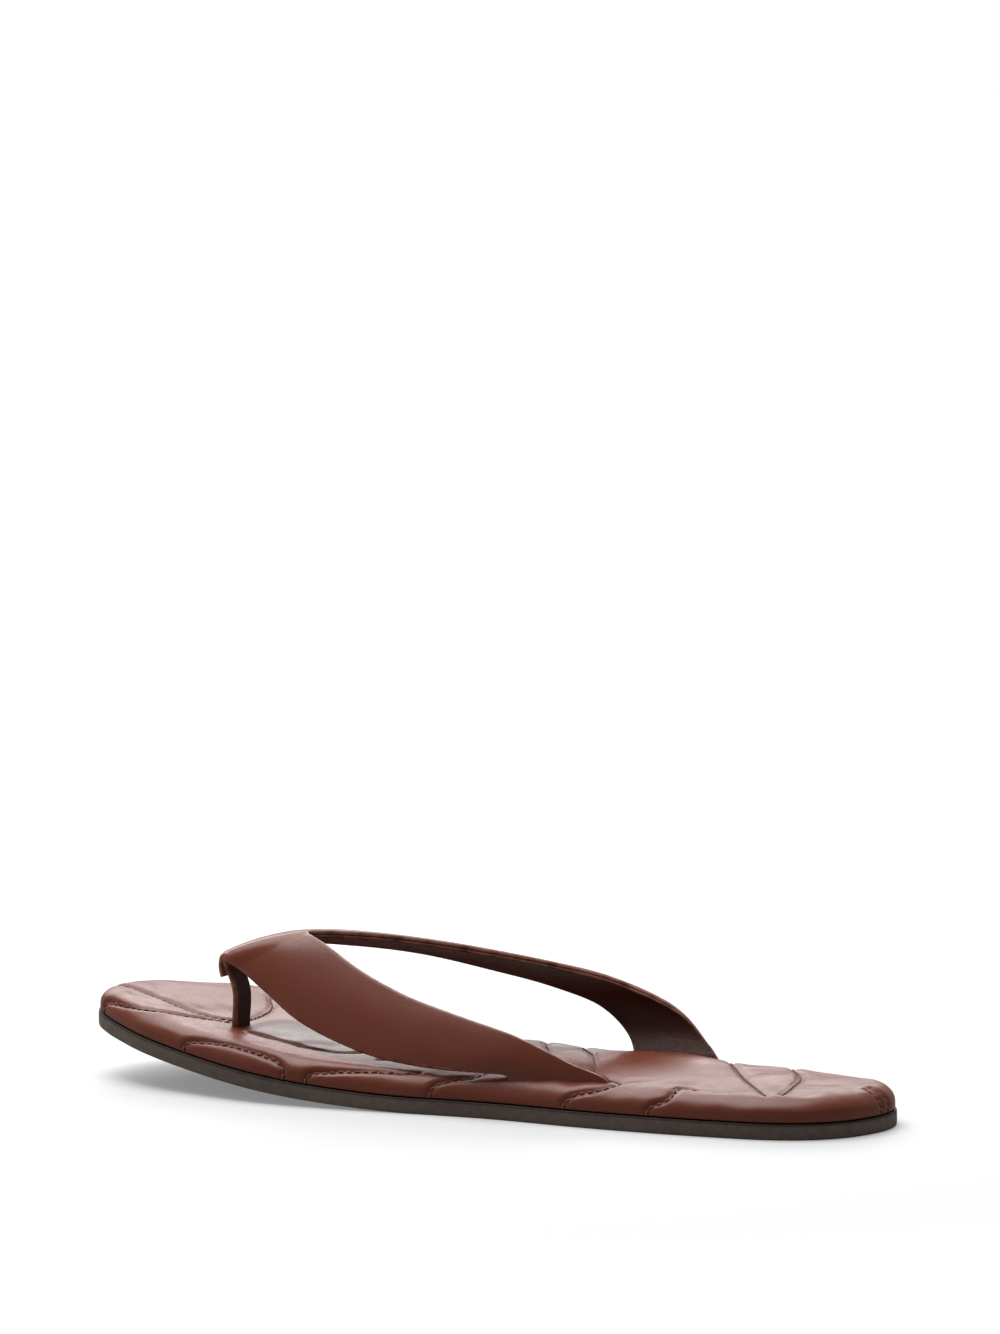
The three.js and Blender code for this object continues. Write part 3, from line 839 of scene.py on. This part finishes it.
total_stitches = 0
for name, line in zip(thread_names, seam_lines):
    row, count = stitch_row(name.replace("quilt_thread", "stitches"), line, stitch_pitch)
    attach(row, "root")
    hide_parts(name)
    total_stitches += count
print("stitches sewn:", total_stitches)

# %% [markdown]
# ## Strap
#
# The V strap is one leather cut with a lining glued under it. Both follow a middle surface stretched
# between a rear and a front edge, and both ends go down through the cover. Each layer is a sheet with
# rounded edges: a closed loop of points carried along the strap, which is easier to keep true at an edge
# than a plain sheet with a thickness added.

# %% Strap edges
strap_reach = 212.5 * MM
ball_half_width = 45.5 * MM
strap_height = 33.8 * MM
rear_edge = np.array([
    [-0.55, 0.357, 0.0], [-0.58, 0.415, 0.145], [-0.593, 0.494, 0.334], [-0.56, 0.588, 0.467],
    [-0.484, 0.682, 0.592], [-0.374, 0.774, 0.775], [-0.264, 0.838, 0.941], [-0.19, 0.872, 0.995],
    [-0.155, 0.881, 1.0], [-0.14, 0.881, 1.0], [-0.1, 0.872, 0.998],
    [-0.022, 0.826, 0.991], [0.143, 0.753, 0.944], [0.308, 0.659, 0.861], [0.451, 0.565, 0.757],
    [0.56, 0.471, 0.627], [0.615, 0.376, 0.393], [0.582, 0.33, 0.157], [0.5, 0.301, 0.0],
])
front_edge = np.array([
    [-0.659, 0.504, 0.0], [-0.69, 0.535, 0.02], [-0.712, 0.58, 0.026], [-0.697, 0.645, 0.036],
    [-0.65, 0.728, 0.085], [-0.535, 0.85, 0.292], [-0.44, 0.918, 0.512], [-0.385, 0.965, 0.675],
    [-0.363, 0.998, 0.763], [-0.209, 1.0, 0.802], [-0.066, 0.981, 0.852],
    [0.11, 0.946, 0.882], [0.352, 0.866, 0.84], [0.56, 0.776, 0.763], [0.714, 0.682, 0.633],
    [0.78, 0.598, 0.515], [0.745, 0.517, 0.375], [0.62, 0.458, 0.165], [0.5, 0.432, -0.02],
])


fold_side = front_edge[8:10, 0].mean()
post_width = 8 * MM
foot_line_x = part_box("toe_post_leather")[1].x - post_width / 2 - fold_side * ball_half_width


def strap_place(shares):
    return np.column_stack([
        foot_line_x + shares[:, 0] * ball_half_width,
        heel_y + shares[:, 1] * strap_reach,
        pad_top + shares[:, 2] * strap_height,
    ])


def curve_through(points, shares):
    """A curve that passes through points without loops, at shares 0..1 of the way through their count."""
    points = np.vstack([2 * points[0] - points[1], points, 2 * points[-1] - points[-2]])
    spans = len(points) - 3
    place = np.clip(shares, 0, 1) * spans
    first = np.minimum(place.astype(int), spans - 1)
    step = (place - first)[:, None]
    p0, p1, p2, p3 = (points[first + k] for k in range(4))
    d0, d1, d2 = (
        np.maximum(np.linalg.norm(end - start, axis=1)[:, None], 1e-9) ** 0.5
        for start, end in ((p0, p1), (p1, p2), (p2, p3))
    )
    slope1 = ((p1 - p0) / d0 - (p2 - p0) / (d0 + d1) + (p2 - p1) / d1) * d1
    slope2 = ((p2 - p1) / d1 - (p3 - p1) / (d1 + d2) + (p3 - p2) / d2) * d1
    return (
        p1 + slope1 * step + (3 * (p2 - p1) - 2 * slope1 - slope2) * step ** 2
        + (2 * (p1 - p2) + slope1 + slope2) * step ** 3
    )


# %% Sheet with rounded edges
face_steps = 30
rim_width = 0.7 * MM
cap_turns = np.linspace(0, math.pi, 9)[1:-1]
face_shares = np.linspace(0, 1, face_steps)
loop_share = np.r_[face_shares, np.ones(len(cap_turns)), face_shares[::-1], np.zeros(len(cap_turns))]
loop_push = np.r_[
    1 - 2 * face_shares, np.sin(cap_turns) - 1, 1 - 2 * face_shares[::-1], 1 - np.sin(cap_turns)
]
loop_depth = np.r_[np.ones(face_steps), np.cos(cap_turns), -np.ones(face_steps), -np.cos(cap_turns)]


def sheet(name, front, rear, normal, low, high, bulge, material, shape=None):
    """A closed sheet between two rails, from depth low to high along the normal."""
    width = np.linalg.norm(rear - front, axis=1)
    round_share = (0.5 * (high - low) / width)[:, None]
    across = loop_share[None, :] + round_share * loop_push[None, :]
    depth = 0.5 * (high + low) + 0.5 * (high - low) * loop_depth[None, :]
    depth = depth + bulge[:, None] * 4 * across * (1 - across)
    if shape is not None:
        depth = depth + shape(across, np.linspace(0, 1, len(front))[:, None])
    span = across[:, :, None] * (rear - front)[:, None, :]
    points = (front[:, None, :] + span + depth[:, :, None] * normal[:, None, :]).reshape(-1, 3)
    loop = len(loop_share)
    faces = []
    for row in range(len(front) - 1):
        start = row * loop
        for k in range(loop):
            after = (k + 1) % loop
            faces.append((start + k, start + after, start + loop + after, start + loop + k))
    faces.append(tuple(reversed(range(loop))))
    faces.append(tuple((len(front) - 1) * loop + k for k in range(loop)))
    # The rim mask lightens a strap's edges: partly rubbed wear, partly a painted highlight where the edge
    # catches light.
    from_edge = np.minimum(across, 1 - across) * width[:, None]
    rim_wear_and_highlight = np.clip(1 - from_edge / rim_width, 0, 1)
    made = make_object(name, points, faces, {"rim_wear_and_highlight": rim_wear_and_highlight.ravel(), "painted_shade": np.zeros(len(points))})
    made.data.materials.append(material)
    return made


# %% Strap layers
strap_rows = 260
strap_crown = 1.2 * MM
half_face_gap = 0.05 * MM


def strap_rails(end_height):
    shares = np.linspace(0, 1, strap_rows)
    rails = []
    for edge in (front_edge, rear_edge):
        points = strap_place(edge)
        inner_end, outer_end = points[0].copy(), points[-1].copy()
        inner_end[2] = outer_end[2] = end_height
        rails.append(curve_through(np.vstack([inner_end, points, outer_end]), shares))
    front, rear = rails
    middle = 0.5 * (front + rear)
    forward = np.gradient(middle, axis=0)
    normal = np.cross(rear - front, forward)
    normal /= np.linalg.norm(normal, axis=1)[:, None]
    spans = len(front_edge) + 1
    from_end = spans * np.minimum(shares, 1 - shares)
    return front, rear, normal, strap_crown * ease(from_end, 1, 3)


front, rear, normal, bulge = strap_rails(6 * MM)
print("strap runs in mm:", round(np.linalg.norm(np.diff(0.5 * (front + rear), axis=0), axis=1).sum() / MM))


# %% Wear on the strap
def handled(across, along):
    spots = np.stack([across.ravel() * 0.045, np.broadcast_to(along, across.shape).ravel() * 0.32,
                      np.zeros(across.size)], axis=1)
    return (0.10 * MM * swell(spots, 0.03, 11) + 0.04 * MM * swell(spots, 0.011, 12)).reshape(across.shape)


def wrinkled(across, along):
    """The lining also creases across the strap where it bends down to its outer end."""
    near_end = ease(along, 0.82, 0.93)
    lines = np.stack([across.ravel() * 0.012, np.broadcast_to(along, across.shape).ravel() * 0.32,
                      np.zeros(across.size)], axis=1)
    creases = -np.abs(swell(lines, 0.006, 21)).reshape(across.shape)
    return handled(across, along) + 0.22 * MM * creases * near_end


# %% Strap pieces
strap_top = sheet(
    "strap_leather_piece", front, rear, normal, half_face_gap, 1.35 * MM, bulge, nappa, handled)
strap_under = sheet(
    "strap_lining_piece", front, rear, normal, -0.95 * MM, -half_face_gap, bulge, lining_leather_and_shade, wrinkled)
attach(strap_top, "root")
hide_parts("strap_leather")
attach(strap_under, "root")
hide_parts("strap_lining")
print("strap rows:", strap_rows, "points per row:", len(loop_share))

# %% [markdown]
# ## Toe post
#
# The post is two flat strips glued face to face. It rises between the first two toes with a slight bend.
# The strap's front edge is folded down over its top. All three are the same kind of sheet as the strap,
# carried along a line of their own.

# %% Post line
fold_middle = strap_place(front_edge[8:10]).mean(axis=0)
post_thickness = 2.3 * MM
post_top_y = heel_y + strap_reach - 1.2 * MM - 0.3 * MM - post_thickness / 2
post_foot_y = post_top_y - 3 * MM
post_foot_x = fold_middle[0] - 1.5 * MM
post_base_z = pad_top + spring(post_foot_y)
post_points = np.array([
    [post_foot_x, post_foot_y, post_base_z - 5 * MM],
    [post_foot_x, post_foot_y, post_base_z],
    [(post_foot_x + fold_middle[0]) / 2, post_foot_y + 0.2 * MM, (post_base_z + fold_middle[2]) / 2],
    [fold_middle[0], post_top_y + 1.6 * MM, fold_middle[2]],
])
post_line = curve_through(post_points, np.linspace(0, 1, 60))
half_width = np.array([post_width / 2, 0, 0])
print("post foot at mm:", (post_points[1] / MM).round(1))

# %% Fold over the post
fold_points = fold_middle + MM * np.array([
    [0, -4.0, 0.5], [0, -1.9, 0.75], [0, -0.2, 0.2], [0, 0.4, -2.0], [0, 0.3, -4.2], [0, -0.2, -6.0],
])
fold_rows = 50
fold_line = curve_through(fold_points, np.linspace(0, 1, fold_rows))
fold_normal = np.cross(np.tile([1.0, 0, 0], (fold_rows, 1)), np.gradient(fold_line, axis=0))
fold_normal /= np.linalg.norm(fold_normal, axis=1)[:, None]
fold_half = half_width * np.linspace(1.12, 0.98, fold_rows)[:, None]
fold_bulge = np.full(fold_rows, 0.3 * MM)
fold_piece = sheet(
    "strap_fold", fold_line - fold_half, fold_line + fold_half, fold_normal, -0.65 * MM, 0.7 * MM,
    fold_bulge, nappa)
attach(fold_piece, "root")
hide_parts("strap_leather")
print("fold points:", len(fold_piece.data.vertices))

# %% Post pieces
back = np.tile([0.0, 1.0, 0.0], (len(post_line), 1))
no_bulge = np.zeros(len(post_line))
post_sides = post_line - half_width, post_line + half_width
post_front = sheet("toe_post_front", *post_sides, back, 0.02 * MM, 1.2 * MM, no_bulge, nappa)
# The back strip's dark lining is partly painted shade on the post's back.
post_back = sheet("toe_post_back", *post_sides, back, -1.0 * MM, -0.02 * MM, no_bulge, lining_leather_and_shade)
for piece, node, finish in (
    (post_front, "toe_post_leather", "nappa"), (post_back, "toe_post_lining", "lining"),
):
    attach(piece, "root")
    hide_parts(node)
print("post pieces:", post_front.name, post_back.name)

# %% [markdown]
# ## Sole
#
# The sole is moulded with a smooth, slightly rounded edge. Its underside has a plain rim and a field of
# fine ribs for grip.

# %% Sole shape
sole_rings = []
for turn in np.linspace(0, math.pi, 13):
    round_out = math.sin(turn) ** 0.35 if math.sin(turn) > 1e-6 else 0.0
    sole_rings.append((
        sole_bevel * (1 - round_out),
        sole_thickness / 2 * (1 + math.copysign(abs(math.cos(turn)) ** 0.55, math.cos(turn))),
    ))
sole_top = (sole_bevel + 0.3 * MM, sole_thickness)
sole_points, sole_faces, sole_ring = layer(70, 230, sole_top, sole_rings, closed=True)
print("sole points:", len(sole_points))

# %% Ribs and painted shadow on the top edge
flat_height = sole_points[:, 2] - spring(sole_points[:, 1])
# Painted shadow: the sole's top edge is darkened where the cover sits on it.
painted_top_edge_shadow = ease(flat_height, 0.8 * sole_thickness, 0.95 * sole_thickness)
rib_pitch = 7 * MM
rib_depth = 0.7 * MM
plain_rim = 7 * MM
under = sole_ring > len(sole_rings)
edge_gap = np.array([np.hypot(*(outline - point[:2]).T).min() for point in sole_points[under]])
rib = ease(np.cos(2 * math.pi * sole_points[under, 1] / rib_pitch), -0.3, 0.3)
sole_points[under, 2] += rib_depth * rib * ease(edge_gap, plain_rim, plain_rim + 1.2 * MM)
print("ribbed points:", int(under.sum()))

# %% Sole piece
sole = make_object("sole_piece", sole_points, sole_faces, {"painted_shade": painted_top_edge_shadow, "rim_wear_and_highlight": 0 * painted_top_edge_shadow})
sole.data.materials.append(sole_finish)
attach(sole, "root")
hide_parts("outsole")
print("sole height in mm:", round(sole.dimensions.z / MM, 1))

# %% [markdown]
# ## Layers inside
#
# The board, felt, foam, scrim and wadding lie inside the cover and keep their solids' shapes. Each gets
# its own fibrous material, from one loop.

# %% Inner materials
for node, low_color, high_color, scale in (
    ("insole_board", (0.45, 0.33, 0.22), (0.6, 0.46, 0.32), 900.0),
    ("bottom_filler", (0.28, 0.26, 0.23), (0.42, 0.38, 0.33), 1400.0),
    ("footbed_foam", (0.66, 0.6, 0.46), (0.78, 0.72, 0.58), 2000.0),
    ("quilt_backing", (0.55, 0.51, 0.44), (0.68, 0.64, 0.56), 2500.0),
    ("quilt_wadding", (0.74, 0.72, 0.66), (0.85, 0.83, 0.78), 1200.0),
):
    material, tree, shader = new_material(node + "_finish")
    spot = add(tree, "TexCoord").outputs["Object"]
    fibre = add(tree, "TexNoise", {"Vector": spot, "Scale": scale, "Detail": 4.0}).outputs[0]
    tree.links.new(blend(tree, fibre, (*low_color, 1), (*high_color, 1)), shader.inputs["Base Color"])
    bumped = add(tree, "Bump", {"Height": fibre, "Distance": 0.0001}).outputs[0]
    tree.links.new(bumped, shader.inputs["Normal"])
    shader.inputs["Roughness"].default_value = 0.9
    nodes[node].data.materials.clear()
    nodes[node].data.materials.append(material)
    print("finished inside:", node)
